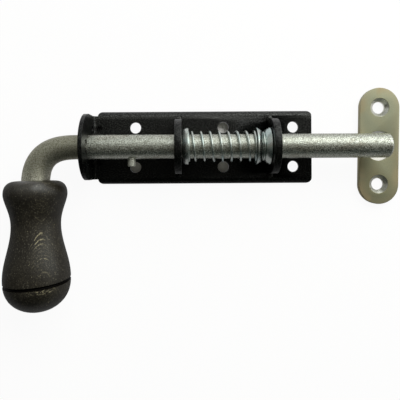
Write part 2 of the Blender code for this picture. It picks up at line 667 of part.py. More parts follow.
def main():
    shop = Workshop()
    black_paint = make_material("black_paint", (0.035, 0.036, 0.034), 0.5, 0.2)
    zinc_plate = make_material("zinc_plate", (0.62, 0.62, 0.56), 0.38, 1.0)
    bright_zinc = make_material("bright_zinc", (0.70, 0.72, 0.70), 0.25, 1.0)
    strike_zinc = make_material("strike_zinc", (0.42, 0.42, 0.36), 0.45, 1.0)
    stained_wood = make_material("stained_wood", (0.060, 0.045, 0.030), 0.5, 0.0)

    build_backplate(shop, black_paint)
    build_lug(shop, "middle_lug", MIDDLE_LUG_X, black_paint)
    build_lug(shop, "right_lug", RIGHT_LUG_X, black_paint)

    axis = Matrix.Translation((0, AXIS_Y, AXIS_Z))
    fixed = shop.empty("bolt_axis_fixed", axis)
    slide = shop.empty("bolt_slide", axis)
    turn = shop.empty("bolt_turn", Matrix.Rotation(-REST_RAISE, 4, "X"), slide)

    build_cup(shop, "spring_seat_washer", SEAT_CUP_BACK, 1, fixed, bright_zinc)
    build_cup(shop, "thrust_washer", THRUST_CUP_BACK, -1, slide, bright_zinc)
    spring_mesh = shop.bar(spring_stations(), WIRE_DIAMETER / 2, 8)
    soften(shop.add("compression_spring", spring_mesh, Matrix(), fixed, bright_zinc))

    build_bolt(shop, turn, zinc_plate)
    build_cup(shop, "stop_washer", STOP_CUP_BACK, 1, turn, bright_zinc)
    build_ring(shop, turn, bright_zinc)
    build_pin(shop, turn, zinc_plate)
    build_handle(shop, turn, stained_wood)
    build_strike(shop, strike_zinc)


if __name__ == "__main__":
    main()
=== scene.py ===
"""Looks of a spring bolt: painted backplate and lugs, zinc plated bolt, spring and washers,
stained handle and loose strike plate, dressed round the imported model."""
import logging
import math
from collections.abc import Iterable, Sequence
from dataclasses import dataclass
from enum import Enum
from functools import reduce

import bmesh
import bpy
from mathutils import Matrix, Vector


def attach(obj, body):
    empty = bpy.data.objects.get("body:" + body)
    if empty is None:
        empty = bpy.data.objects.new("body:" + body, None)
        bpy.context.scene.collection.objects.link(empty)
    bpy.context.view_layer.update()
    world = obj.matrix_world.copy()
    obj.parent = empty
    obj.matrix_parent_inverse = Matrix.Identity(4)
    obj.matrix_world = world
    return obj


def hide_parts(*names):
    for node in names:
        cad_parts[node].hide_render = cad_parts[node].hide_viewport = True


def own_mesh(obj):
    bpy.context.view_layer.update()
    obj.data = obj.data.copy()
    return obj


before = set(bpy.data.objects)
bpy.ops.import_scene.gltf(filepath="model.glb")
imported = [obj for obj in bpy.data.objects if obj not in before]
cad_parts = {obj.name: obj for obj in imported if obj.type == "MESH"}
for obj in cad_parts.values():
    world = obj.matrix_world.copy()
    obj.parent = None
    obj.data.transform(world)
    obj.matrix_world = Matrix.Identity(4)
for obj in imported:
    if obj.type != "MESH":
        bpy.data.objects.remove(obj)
log = logging.getLogger("spring_bolt")

Pair = tuple[float, float]
Spot = tuple[float, float, float]
Colour = tuple[float, float, float]
Station = tuple[Spot, float]
Mesh = bpy.types.Mesh
Object = bpy.types.Object
Socket = bpy.types.NodeSocket
Value = float | Socket
Tint = Colour | Socket

# Axes of a flat outline and, last, of its thickness or of a turned piece's axis
ALONG_X = Matrix(((0, 0, 1), (1, 0, 0), (0, 1, 0))).to_4x4()
ALONG_MINUS_X = Matrix(((0, 0, -1), (1, 0, 0), (0, -1, 0))).to_4x4()
ALONG_MINUS_Y = Matrix(((1, 0, 0), (0, 0, -1), (0, 1, 0))).to_4x4()

WHITE: Colour = (1.0, 1.0, 1.0)


class Body(Enum):
    """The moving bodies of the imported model."""

    BASE = "base"
    SLIDER = "slider"
    BOLT = "bolt"


class Facing(Enum):
    """Which way a cupped washer opens."""

    RIGHT = 1
    LEFT = -1


class Slot(Enum):
    """The record's material slots."""

    BLACK_PAINT = "black_paint"
    ZINC_PLATE = "zinc_plate"
    BRIGHT_ZINC = "bright_zinc"
    STRIKE_ZINC = "strike_zinc"
    STAINED_WOOD = "stained_wood"


@dataclass(frozen=True)
class Coat:
    """A finish that has been built, and the slot that it belongs to."""

    slot: Slot
    material: bpy.types.Material


@dataclass(frozen=True)
class Layout:
    """Places that several pieces share, in metres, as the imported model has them."""

    axis_y: float = 0.02375
    axis_z: float = 0.0182
    rest_raise: float = 0.062292
    plate_left: float = -0.0759
    plate_right: float = 0.0759
    plate_top: float = 0.0050
    sheet: float = 0.0025
    bar_radius: float = 0.0080
    running_clearance: float = 0.0003
    middle_lug_x: float = -0.0150
    right_lug_x: float = 0.0475
    seat_washer_x: float = -0.01245
    thrust_washer_x: float = 0.03965
    ring_x: float = 0.03985
    stop_washer_x: float = 0.04085
    leg_x: float = -0.1084
    leg_lean: float = math.radians(1.9)
    handle_drop: float = 0.0221

    @property
    def bore(self) -> float:
        """Radius of the holes that the bolt slides in."""
        return self.bar_radius + self.running_clearance

    def on_axis(self, x: float = 0.0) -> Matrix:
        """A place on the bolt's axis."""
        return Matrix.Translation((x, self.axis_y, self.axis_z))

    def on_bolt(self, x: float = 0.0) -> Matrix:
        """A place on the bolt's axis, turned as the resting bolt is."""
        return self.on_axis(x) @ Matrix.Rotation(-self.rest_raise, 4, "X")

    def on_leg(self) -> Matrix:
        """The handle's own axes: Z up the leg and Y towards the mounting surface.

        Returns:
            The place of the middle of the handle's top face.
        """
        lean = self.leg_lean
        up = Vector((-math.sin(lean), math.cos(lean), 0))
        across = Vector((math.cos(lean), math.sin(lean), 0))
        turn = Matrix((across, up.cross(across), up)).transposed().to_4x4()
        return self.on_bolt() @ Matrix.Translation((self.leg_x, -self.handle_drop, 0)) @ turn


LAYOUT = Layout()


def arc(centre: Pair, radius: float, start: float, end: float, steps: int) -> list[Pair]:
    """Points of an arc in even steps between two angles in degrees, both ends included."""
    angles = [math.radians(start + (end - start) * step / steps) for step in range(steps + 1)]
    return [(centre[0] + radius * math.cos(a), centre[1] + radius * math.sin(a)) for a in angles]


def circle(x: float, y: float, radius: float, sides: int = 72) -> list[Pair]:
    """Points round a circle, the first not repeated."""
    return arc((x, y), radius, 0, 360, sides)[:-1]


def rounded_rectangle(low: Pair, high: Pair, radius: float) -> list[Pair]:
    """Outline of a rectangle with rounded corners.

    Args:
        low: Its lowest corner.
        high: Its highest corner.
        radius: Radius of the corners.

    Returns:
        The outline's points.
    """
    (x0, y0), (x1, y1) = low, high
    centres = ((x1 - radius, y1 - radius), (x0 + radius, y1 - radius),
               (x0 + radius, y0 + radius), (x1 - radius, y0 + radius))
    points: list[Pair] = []
    for quarter, centre in enumerate(centres):
        points += arc(centre, radius, 90 * quarter, 90 * quarter + 90, 12)
    return points


class Maker:
    """Makes meshes and objects, and puts each finished piece on its body."""

    def linked(self, name: str, data: bpy.types.ID) -> Object:
        """Makes an object of a mesh, curve, lamp or camera and links it to the scene.

        Args:
            name: The object's name.
            data: What it shows.

        Returns:
            The object.
        """
        made = bpy.data.objects.new(name, data)
        bpy.context.scene.collection.objects.link(made)
        return made

    def mesh_of(self, data: bpy.types.ID, modifiers: Iterable[tuple[str, Object]] = ()) -> Mesh:
        """Turns a curve or mesh, with Booleans on it, into a clean mesh.

        Args:
            data: The curve or mesh.
            modifiers: Pairs of a Boolean operation and its other object, used up here.

        Returns:
            The mesh, welded and with its faces pointing out.
        """
        holder = self.linked("holder", data)
        others = []
        for operation, other in modifiers:
            step = holder.modifiers.new(operation, "BOOLEAN")
            step.operation, step.object, step.solver = operation, other, "EXACT"
            others.append(other)
        bpy.context.view_layer.update()
        graph = bpy.context.evaluated_depsgraph_get()
        mesh = bpy.data.meshes.new_from_object(holder.evaluated_get(graph))
        for used in [holder, *others]:
            bpy.data.objects.remove(used, do_unlink=True)
        work = bmesh.new()
        work.from_mesh(mesh)
        bmesh.ops.remove_doubles(work, verts=work.verts, dist=1e-7)
        bmesh.ops.recalc_face_normals(work, faces=work.faces)
        work.to_mesh(mesh)
        work.free()
        return mesh

    def cutter(self, mesh: Mesh, place: Matrix) -> Object:
        """A short-lived object for a Boolean, its place put into its mesh."""
        mesh.transform(place)
        return self.linked("cutter", mesh)

    def sheet(self, outlines: Sequence[Sequence[Pair]], thickness: float, edge: float = 0.0) -> Mesh:
        """A flat plate about its middle plane, its edges rounded.

        Args:
            outlines: The outer outline and those of its holes.
            thickness: Its thickness.
            edge: Radius of the rounded edges.

        Returns:
            The plate's mesh.
        """
        curve = bpy.data.curves.new("outline", "CURVE")
        curve.dimensions, curve.fill_mode = "2D", "BOTH"
        curve.extrude = thickness / 2 - edge
        curve.bevel_depth, curve.bevel_resolution, curve.offset = edge, 2, -edge
        for outline in outlines:
            spline = curve.splines.new("POLY")
            spline.points.add(len(outline) - 1)
            spline.use_cyclic_u = True
            for point, (x, y) in zip(spline.points, outline):
                point.co = (x, y, 0, 1)
        return self.mesh_of(curve)

    def bar(self, stations: Sequence[Station], radius: float, sides: int) -> Mesh:
        """A round bar along a line of stations.

        Args:
            stations: Places along its centre line, each with its share of the radius.
            radius: The full radius.
            sides: Facets round it.

        Returns:
            The bar's mesh, closed at both ends.
        """
        curve = bpy.data.curves.new("bar", "CURVE")
        curve.dimensions, curve.use_fill_caps = "3D", True
        curve.bevel_depth, curve.bevel_resolution = radius, (sides - 4) // 2
        spline = curve.splines.new("POLY")
        spline.points.add(len(stations) - 1)
        for point, (place, share) in zip(spline.points, stations):
            point.co, point.radius = (*place, 1), share
        return self.mesh_of(curve)

    def turned(self, profile: Sequence[Pair], steps: int, closed: bool = False) -> Mesh:
        """Turns a profile about its Z axis.

        Args:
            profile: Points of radius and height.
            steps: Facets round it.
            closed: Whether the last point joins the first.

        Returns:
            The turned mesh.
        """
        work = bmesh.new()
        rings = []
        for radius, height in profile:
            ring = []
            for step in range(steps if radius > 1e-7 else 1):
                angle = 2 * math.pi * step / steps
                ring.append(work.verts.new((radius * math.cos(angle), radius * math.sin(angle), height)))
            rings.append(ring)
        following = rings[1:] + (rings[:1] if closed else [])
        for ring, other in zip(rings, following):
            for step in range(steps):
                after = step + 1
                corners = [ring[step % len(ring)], ring[after % len(ring)],
                           other[after % len(other)], other[step % len(other)]]
                corners = list(dict.fromkeys(corners))
                if len(corners) > 2:
                    work.faces.new(corners)
        bmesh.ops.recalc_face_normals(work, faces=work.faces)
        mesh = bpy.data.meshes.new("turned")
        work.to_mesh(mesh)
        work.free()
        return mesh

    def piece(self, name: str, mesh: Mesh, place: Matrix, body: Body,
              coat: Coat, node: str = "", sharp: float = 40.0) -> Object:
        """Puts a finished piece on its body.

        Args:
            name: The piece's name.
            mesh: Its mesh.
            place: Where it goes.
            body: The body that it moves with.
            coat: Its finish.
            node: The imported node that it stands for, if any.
            sharp: Angle in degrees above which an edge stays sharp.

        Returns:
            The piece.
        """
        mesh.transform(place)
        mesh.materials.clear()
        mesh.materials.append(coat.material)
        mesh.shade_smooth()
        mesh.set_sharp_from_angle(angle=math.radians(sharp))
        piece = self.linked(name, mesh)
        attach(piece, body.value)
        if node:
            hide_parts(node)
        log.info("%s: %d faces on %s", name, len(mesh.polygons), body.value)
        return piece


MAKER = Maker()


class Graph:
    """A material's nodes, with a short method for each kind that the finishes use."""

    def __init__(self, name: str) -> None:
        """Starts a material with one Principled shader.

        Args:
            name: The material's name.
        """
        self.name = name
        self.material = bpy.data.materials.new(name)
        self.material.use_nodes = True
        self.tree = self.material.node_tree
        self.shader = self.tree.nodes["Principled BSDF"]
        self.place = self.node("TexCoord").outputs["Object"]

    @classmethod
    def of_world(cls, world: bpy.types.World) -> "Graph":
        """The graph of a world, its place being the direction looked in.

        Args:
            world: The world, its nodes in use.

        Returns:
            The graph.
        """
        graph = cls.__new__(cls)
        graph.tree = world.node_tree
        graph.place = graph.node("TexCoord").outputs["Generated"]
        return graph

    def node(self, kind: str, values: dict | None = None) -> bpy.types.Node:
        """A new shader node of a kind, its inputs fed."""
        return self.feed(self.tree.nodes.new(f"ShaderNode{kind}"), values or {})

    def feed(self, node: bpy.types.Node, values: dict) -> bpy.types.Node:
        """Links or sets a node's inputs.

        Args:
            node: The node.
            values: Its inputs by name or number, each a socket to link or a value to set.

        Returns:
            The node.
        """
        for key, value in values.items():
            if isinstance(value, Socket):
                self.tree.links.new(value, node.inputs[key])
            elif isinstance(value, tuple) and len(value) == 3 and node.inputs[key].type == "RGBA":
                node.inputs[key].default_value = (*value, 1.0)
            else:
                node.inputs[key].default_value = value
        return node

    def stretched(self, x: float, y: float, z: float) -> Socket:
        """The surface's place with each axis scaled."""
        return self.node("Mapping", {"Vector": self.place, "Scale": (x, y, z)}).outputs[0]

    def within(self, frame_of: Matrix) -> Socket:
        """The surface's place as seen from a piece's own axes.

        Args:
            frame_of: The piece's place.

        Returns:
            The place in those axes.
        """
        node = self.node("Mapping")
        node.vector_type = "TEXTURE"
        values = {"Vector": self.place, "Location": frame_of.translation, "Rotation": frame_of.to_euler()}
        return self.feed(node, values).outputs[0]

    def axis(self, name: str, place: Socket | None = None) -> Socket:
        """One coordinate, X, Y or Z, of a place."""
        return self.node("SeparateXYZ", {0: place or self.place}).outputs[name]

    def away(self, x: float, y: float) -> Socket:
        """Distance from an upright line through a spot of the plan.

        Args:
            x: The spot's X.
            y: The spot's Y.

        Returns:
            The distance.
        """
        node = self.node("VectorMath")
        node.operation = "DISTANCE"
        mark = self.node("CombineXYZ", {0: x, 1: y, 2: self.axis("Z")})
        return self.feed(node, {0: self.place, 1: mark.outputs[0]}).outputs["Value"]

    def noise(self, scale: float, detail: float = 3.0, roughness: float = 0.5,
              place: Socket | None = None, distortion: float = 0.0) -> Socket:
        """Cloudy noise about 0.5: so many clouds per metre, with finer layers, read at a place."""
        values = {"Vector": place or self.place, "Scale": scale, "Detail": detail,
                  "Roughness": roughness, "Distortion": distortion}
        return self.node("TexNoise", values).outputs[0]

    def chance(self, number: Socket) -> Socket:
        """A chance value from 0 to 1, the same for the same number.

        Args:
            number: The number.

        Returns:
            The chance value.
        """
        node = self.node("TexWhiteNoise")
        node.noise_dimensions = "1D"
        return self.feed(node, {"W": number}).outputs["Value"]

    def math(self, operation: str, *values: Value) -> Socket:
        """The result of a Math node.

        Args:
            operation: What the node does.
            values: Its one or two values.

        Returns:
            The result.
        """
        node = self.node("Math")
        node.operation = operation
        return self.feed(node, dict(enumerate(values))).outputs[0]

    def fold(self, operation: str, *values: Value) -> Socket:
        """Any number of values joined by one operation, such as their sum or the least of them."""
        return reduce(lambda first, second: self.math(operation, first, second), values)

    def times(self, *values: Value) -> Socket:
        """The product of the values."""
        return self.fold("MULTIPLY", *values)

    def largest(self, *values: Value) -> Socket:
        """The largest of the values."""
        return self.fold("MAXIMUM", *values)

    def apart(self, value: Value, other: Value) -> Socket:
        """How far two values are apart."""
        return self.math("ABSOLUTE", self.math("SUBTRACT", value, other))

    def fit(self, value: Socket, low: Pair, high: Pair) -> Socket:
        """Maps a value smoothly between two limits.

        Args:
            value: What is mapped.
            low: The value at the lower limit, and what it becomes.
            high: The value at the upper limit, and what it becomes.

        Returns:
            The mapped value, held at the limits.
        """
        node = self.node("MapRange")
        node.interpolation_type = "SMOOTHSTEP"
        values = {"Value": value, "From Min": low[0], "From Max": high[0],
                  "To Min": low[1], "To Max": high[1]}
        return self.feed(node, values).outputs[0]

    def mix(self, factor: Value, first: Tint, second: Tint, mode: str = "MIX") -> Socket:
        """Two colours mixed.

        Args:
            factor: Share of the second colour.
            first: The first colour.
            second: The second colour.
            mode: The way they are mixed.

        Returns:
            The mixed colour.
        """
        node = self.node("Mix")
        node.data_type, node.blend_type = "RGBA", mode
        return self.feed(node, {0: factor, 6: first, 7: second}).outputs[2]

    def bump(self, height: Socket, depth: float, strength: float,
             normal: Socket | None = None) -> Socket:
        """A normal for a relief of some depth in metres, on top of another normal if there is one."""
        values = {"Height": height, "Distance": depth, "Strength": strength}
        return self.node("Bump", values | ({"Normal": normal} if normal else {})).outputs[0]

    def soft_edges(self, radius: float) -> Socket:
        """A normal that rounds the sharp edges.

        Args:
            radius: Radius of the rounding.

        Returns:
            The normal.
        """
        node = self.node("Bevel", {"Radius": radius})
        node.samples = 6
        return node.outputs[0]

    def set_shader(self, **values: Value | Colour) -> None:
        """Sets the shader's inputs, named with _ for a space."""
        self.feed(self.shader, {key.replace("_", " "): value for key, value in values.items()})

    def coat(self, **values: Value | Colour) -> Coat:
        """Sets the shader's inputs and gives the finish, its name being its slot's."""
        self.set_shader(**values)
        return Coat(Slot(self.name), self.material)


@dataclass(frozen=True)
class BlackPaint:
    """Satin black powder paint with a fine grit, and a painted highlight along the far bend."""

    paint: Colour = (0.0013, 0.0015, 0.0014)
    dust: Colour = (0.0140, 0.0155, 0.0130)
    # Colour of the painted highlight along the far bend
    band: Colour = (0.0315, 0.0325, 0.0292)
    bend_highlight_from: float = 0.0427
    roughness: Pair = (0.24, 0.33)
    grit: float = 1400.0
    grit_depth: float = 0.00019
    edge: float = 0.00045

    def coat(self) -> Coat:
        """Builds the paint.

        Returns:
            The finish.
        """
        g = Graph(Slot.BLACK_PAINT.value)
        grit = g.noise(self.grit, 2, 0.6)
        cloud = g.noise(45, 3)
        speck = g.times(g.fit(grit, (0.48, 0), (0.70, 1)), g.fit(cloud, (0.3, 0.5), (0.7, 1)))
        base = g.mix(speck, self.paint, self.dust)
        y = g.axis("Y")
        # Painted highlight: a lighter, grainy band along the far bend, where its curve catches the window
        band = g.times(g.fit(y, (self.bend_highlight_from, 0), (self.bend_highlight_from + 0.0012, 1)),
                       g.fit(y, (self.bend_highlight_from + 0.0026, 1), (self.bend_highlight_from + 0.0046, 0.2)),
                       g.fit(grit, (0.38, 0.15), (0.62, 1)))
        base = g.mix(band, base, self.band)
        relief = g.bump(grit, self.grit_depth, 0.9, g.soft_edges(self.edge))
        # Specular level falls towards the near side of the web: painted shade there, with sparkle from the
        # grit
        glint = g.times(g.fit(y, (0.008, 0.14), (0.034, 0.50)), g.fit(grit, (0.40, 0.45), (0.66, 1.85)))
        return g.coat(Base_Color=base, Normal=relief, Specular_IOR_Level=glint,
                      Roughness=g.fit(cloud, (0.3, self.roughness[0]), (0.7, self.roughness[1])))


@dataclass(frozen=True)
class ZincBar:
    """Zinc plated bar: bright with a fine spangle and tarnish on the straight, dull at the bend."""

    bright: Colour = (0.94, 0.97, 0.89)
    grey: Colour = (0.70, 0.72, 0.65)
    dull: Colour = (0.53, 0.52, 0.42)
    leg: Colour = (0.83, 0.82, 0.70)
    tarnish: Colour = (0.52, 0.44, 0.32)
    speck: Colour = (0.26, 0.25, 0.20)
    worn_pin: Colour = (0.74, 0.73, 0.70)
    bend_x: Pair = (-0.0780, -0.0715)
    leg_y: Pair = (0.0020, 0.0120)
    pin_x: Pair = (-0.0600, -0.0550)
    pin_y: Pair = (0.0151, 0.0154)
    roughness: Pair = (0.20, 0.60)
    worn_roughness: float = 0.42

    def coat(self) -> Coat:
        """Builds the plating.

        Returns:
            The finish.
        """
        g = Graph(Slot.ZINC_PLATE.value)
        x, y = g.axis("X"), g.axis("Y")
        bend = g.fit(x, (self.bend_x[0], 1), (self.bend_x[1], 0))
        leg = g.fit(y, (self.leg_y[0], 1), (self.leg_y[1], 0))
        pin = g.times(g.fit(y, (self.pin_y[0], 1), (self.pin_y[1], 0)),
                      g.fit(x, (self.pin_x[0], 0), (self.pin_x[1], 1)))
        spangle = g.noise(1550, 1, 0.8)
        mottle = g.noise(600, 3, 0.7, g.stretched(0.7, 1, 1))
        stain = g.noise(110, 4, 0.6, g.stretched(0.5, 1, 1), 0.6)
        base = g.mix(g.fit(mottle, (0.44, 0), (0.66, 0.5)), self.bright, self.grey)
        base = g.mix(g.fit(stain, (0.50, 0), (0.72, 0.38)), base, self.tarnish)
        base = g.mix(bend, base, g.mix(leg, self.dull, self.leg))
        grain = g.fit(g.noise(2100, 1, 0.7), (0.40, 0.85), (0.58, 0))
        base = g.mix(g.times(grain, g.fit(pin, (0, 1), (1, 0.3))), base, self.speck, "MULTIPLY")
        base = g.mix(pin, base, self.worn_pin, "MULTIPLY")
        gloss = g.fit(spangle, (0.38, self.roughness[1]), (0.60, self.roughness[0]))
        gloss = g.largest(gloss, g.times(g.largest(bend, pin), self.worn_roughness))
        drawn = g.noise(900, 2, 0.5, g.stretched(0.02, 1, 1))
        relief = g.bump(drawn, 0.00001, 0.5, g.bump(spangle, 0.00013, 1.0))
        metal = g.math("SUBTRACT", 1.0, g.largest(g.times(bend, 0.10), g.times(pin, 0.28)))
        return g.coat(Base_Color=base, Metallic=metal, Roughness=gloss, Normal=relief)


@dataclass(frozen=True)
class BrightZinc:
    """Clear passivated zinc on small pressed parts and wire, with a cool film."""

    metal: Colour = (0.72, 0.76, 0.72)
    film: Colour = (0.56, 0.70, 0.70)
    roughness: Pair = (0.16, 0.34)

    def coat(self) -> Coat:
        """Builds the plating.

        Returns:
            The finish.
        """
        g = Graph(Slot.BRIGHT_ZINC.value)
        cloud = g.noise(160, 3, 0.6, distortion=0.4)
        grain = g.noise(2600, 2, 0.5)
        base = g.mix(g.fit(cloud, (0.45, 0), (0.65, 0.7)), self.metal, self.film)
        return g.coat(Base_Color=base, Metallic=1.0, Normal=g.bump(grain, 0.00001, 0.5),
                      Roughness=g.fit(grain, (0.3, self.roughness[0]), (0.7, self.roughness[1])))


@dataclass(frozen=True)
class YellowedZinc:
    """Matt zinc of the strike plate: yellowed in clouds, tan at its rim, bare in its countersinks."""

    sinks: tuple[Pair, Pair]
    sink_radius: float
    top: float
    metal: Colour = (0.395, 0.395, 0.246)
    warm: Colour = (0.415, 0.371, 0.217)
    cool: Colour = (0.347, 0.376, 0.275)
    pit: Colour = (0.26, 0.25, 0.17)
    bare: Colour = (0.90, 0.90, 0.82)
    near_shade: Colour = (0.71, 0.69, 0.64)
    near_y: Pair = (-0.01, 0.05)
    rim: Colour = (0.405, 0.332, 0.195)
    rim_reach: Pair = (0.0075, 0.0125)
    roughness: Pair = (0.42, 0.56)

    def rim_share(self, g: Graph, cloud: Socket) -> Socket:
        """How tan the plate is, by the distance from its middle line.

        Args:
            g: The plating's nodes.
            cloud: Noise that breaks the tan up.

        Returns:
            The share of tan.
        """
        (x, near), (_, far) = self.sinks
        half = (far - near) / 2
        past_sinks = g.fit(g.apart(g.axis("Y"), (near + far) / 2), (half, 0), (half + 0.0004, 0.05))
        aside = g.math("ADD", g.apart(g.axis("X"), x), past_sinks)
        aside = g.fold("MINIMUM", aside, *(g.away(*sink) for sink in self.sinks))
        low, high = self.rim_reach
        return g.times(g.fit(aside, (low, 0), (high, 1)), g.fit(cloud, (0.40, 0.25), (0.60, 0.75)))

    def bare_share(self, g: Graph) -> Socket:
        """How bare the metal is, which it is in the countersinks.

        Args:
            g: The plating's nodes.

        Returns:
            The share of bare metal.
        """
        limits = ((self.sink_radius, 1), (self.sink_radius + 0.0003, 0))
        below = g.fit(g.axis("Z"), (self.top - 0.0004, 1), (self.top - 0.0002, 0))
        return g.times(g.largest(*(g.fit(g.away(*sink), *limits) for sink in self.sinks)), below)

    def coat(self) -> Coat:
        """Builds the plating.

        Returns:
            The finish.
        """
        g = Graph(Slot.STRIKE_ZINC.value)
        cloud = g.noise(38, 3, 0.5, distortion=0.8)
        grain = g.noise(2200, 2, 0.6)
        scratch = g.noise(1500, 2, 0.5, g.stretched(1, 0.03, 1))
        base = g.mix(g.fit(cloud, (0.35, 0), (0.65, 1)), self.cool, self.warm)
        base = g.mix(0.5, base, self.metal)
        base = g.mix(g.fit(grain, (0.35, 0.35), (0.65, 0)), base, self.pit)
        near = g.fit(g.axis("Y"), (self.near_y[0], 1), (self.near_y[1], 0))
        base = g.mix(near, base, self.near_shade, "MULTIPLY")
        base = g.mix(self.rim_share(g, cloud), base, self.rim)
        bare = self.bare_share(g)
        rough = g.fit(cloud, (0.35, self.roughness[0]), (0.65, self.roughness[1]))
        rough = g.math("SUBTRACT", rough, g.times(bare, 0.16))
        relief = g.bump(scratch, 0.00001, 0.4, g.bump(grain, 0.00002, 0.5, g.soft_edges(0.0003)))
        return g.coat(Base_Color=g.mix(bare, base, self.bare), Normal=relief, Roughness=rough,
                      Metallic=g.fit(bare, (0, 0.42), (1, 1)))


@dataclass(frozen=True)
class StainedWood:
    """Turned wood stained near black, its flat-sawn growth lines rubbed through to gold in places."""

    place: Matrix
    score: float
    slant: Spot
    stain: Colour = (0.0105, 0.0086, 0.0054)
    lighter: Colour = (0.0240, 0.0208, 0.0140)
    pore: Colour = (0.0060, 0.0048, 0.0030)
    gold: Colour = (0.430, 0.385, 0.235)
    fleck: Colour = (0.120, 0.112, 0.084)
    # Colour of the painted shade in the scored groove
    groove_shade: Colour = (0.0012, 0.0010, 0.0008)
    grain_turn: float = math.radians(30)
    line_spacing: float = 0.00055
    line_stir: Pair = (0.0007, 0.00016)
    clear_line: float = 31.0
    gold_middle: float = -0.0008
    worn_top: Pair = (-0.0232, -0.0210)
    worn_low: Pair = (-0.0540, -0.0460)
    flecks_below_score: float = 0.0036
    crest: float = 0.0020
    roughness: Pair = (0.38, 0.52)
    coat_roughness: float = 0.22
    coat_ior: float = 1.62

    def growth(self, g: Graph) -> tuple[Socket, Socket]:
        """The growth layers, which face up and to the right.

        Args:
            g: The wood's nodes, their place turned with the grain.

        Returns:
            How much of a line there is, and the number of its layer.
        """
        layer = g.times(g.axis("Y"), -1.0)
        stirs = (g.noise(60, 2, 0.5, g.stretched(1, 1, 0.5)), g.noise(500, 2, 0.5))
        for stir, reach in zip(stirs, self.line_stir):
            layer = g.math("ADD", layer, g.times(g.math("SUBTRACT", stir, 0.5), reach))
        layer = g.math("DIVIDE", layer, self.line_spacing)
        line = g.fit(g.apart(g.math("FRACT", layer), 0.5), (0.04, 1), (0.19, 0))
        return line, g.math("FLOOR", layer)

    def gilding(self, g: Graph, line: Socket, number: Socket) -> Socket:
        """Where the gold shows: on the clear lines of the waist's swell, and in flecks.

        Args:
            g: The wood's nodes.
            line: How much of a growth line there is.
            number: The number of its layer.

        Returns:
            The share of gold.
        """
        along, middle = g.axis("Z"), g.apart(g.axis("X"), self.gold_middle)
        strong = g.largest(g.fit(g.apart(number, self.clear_line), (3, 0.64), (4, 0)),
                           g.fit(g.chance(number), (0.45, 0.06), (0.80, 0.42)))
        rubbed = g.fit(g.noise(600, 2, 0.6), (0.40, 0), (0.55, 1))
        patch = g.fit(g.noise(85, 2, 0.5), (0.42, 0.12), (0.60, 1))
        band = g.times(g.fit(along, (self.worn_top[0], 1), (self.worn_top[1], 0.14)),
                       g.fit(along, (self.worn_low[0], 0.45), (self.worn_low[1], 1)))
        lines = g.times(line, g.fit(middle, (0.0025, 1), (0.0075, 0)), rubbed, patch, band, strong)
        gilt = g.fit(g.noise(1100, 2, 0.6), (0.67, 0), (0.75, 0.6))
        below = g.fit(g.apart(along, -self.score - self.flecks_below_score), (0.0012, 1), (0.0030, 0))
        flecks = g.fit(g.noise(1000, 2, 0.7, g.stretched(0.6, 1, 1.5)), (0.56, 0), (0.66, 0.55))
        return g.largest(lines, g.times(gilt, g.fit(middle, (0.004, 1), (0.018, 0.15))),
                         g.times(below, g.fit(middle, (0.0050, 1), (0.0120, 0)), flecks))

    def coat(self) -> Coat:
        """Builds the wood.

        Returns:
            The finish.
        """
        g = Graph(Slot.STAINED_WOOD.value)
        leg = g.within(self.place)
        g.place = g.within(self.place @ Matrix.Rotation(self.grain_turn, 4, "Z"))
        line, number = self.growth(g)
        cloud = g.noise(50, 4, 0.6)
        grain = g.noise(1500, 2, 0.6)
        pores = g.noise(1300, 2, 0.6, g.stretched(1, 1, 0.14))
        base = g.mix(g.fit(cloud, (0.35, 0), (0.65, 1)), self.stain, self.lighter)
        base = g.mix(g.times(line, 0.25), base, self.lighter)
        base = g.mix(g.fit(grain, (0.36, 0.7), (0.58, 0)), base, self.pore)
        base = g.mix(g.fit(pores, (0.38, 0.5), (0.55, 0)), base, self.pore)
        base = g.mix(g.fit(g.noise(1500, 1, 0.5), (0.60, 0), (0.76, 0.70)), base, self.fleck)
        base = g.mix(self.gilding(g, line, number), base, self.gold)
        # Painted shade: the scored groove is darkened to near black
        scored = g.math("ADD", g.axis("Z", leg), self.score - self.slant[0])
        for axis, slope in zip("XY", self.slant[1:]):
            scored = g.math("SUBTRACT", scored, g.times(g.axis(axis, leg), slope))
        scored = g.fit(g.math("ABSOLUTE", scored), (0.0008, 1), (0.0013, 0))
        base = g.mix(scored, base, self.groove_shade)
        polish = g.times(g.fit(g.axis("Z"), (-0.016, 0), (-0.008, 1)),
                         g.fit(g.apart(g.axis("X", leg), self.crest), (0.003, 1), (0.012, 0)))
        # Painted shade: the handle's left side and its scored groove reflect less, so they read darker
        matt = g.fold("MINIMUM", g.fit(scored, (0, 0.5), (1, 0.05)),
                      g.fit(g.axis("X", leg), (-0.014, 0.26), (0.003, 0.5)))
        relief = g.bump(grain, 0.00006, 0.8, g.bump(pores, 0.00005, 0.6, g.bump(cloud, 0.0002, 0.4)))
        return g.coat(Base_Color=base, Normal=relief, IOR=1.5, Specular_IOR_Level=matt,
                      Coat_Weight=polish, Coat_Roughness=self.coat_roughness, Coat_IOR=self.coat_ior,
                      Roughness=g.fit(cloud, (0.35, self.roughness[0]), (0.65, self.roughness[1])))


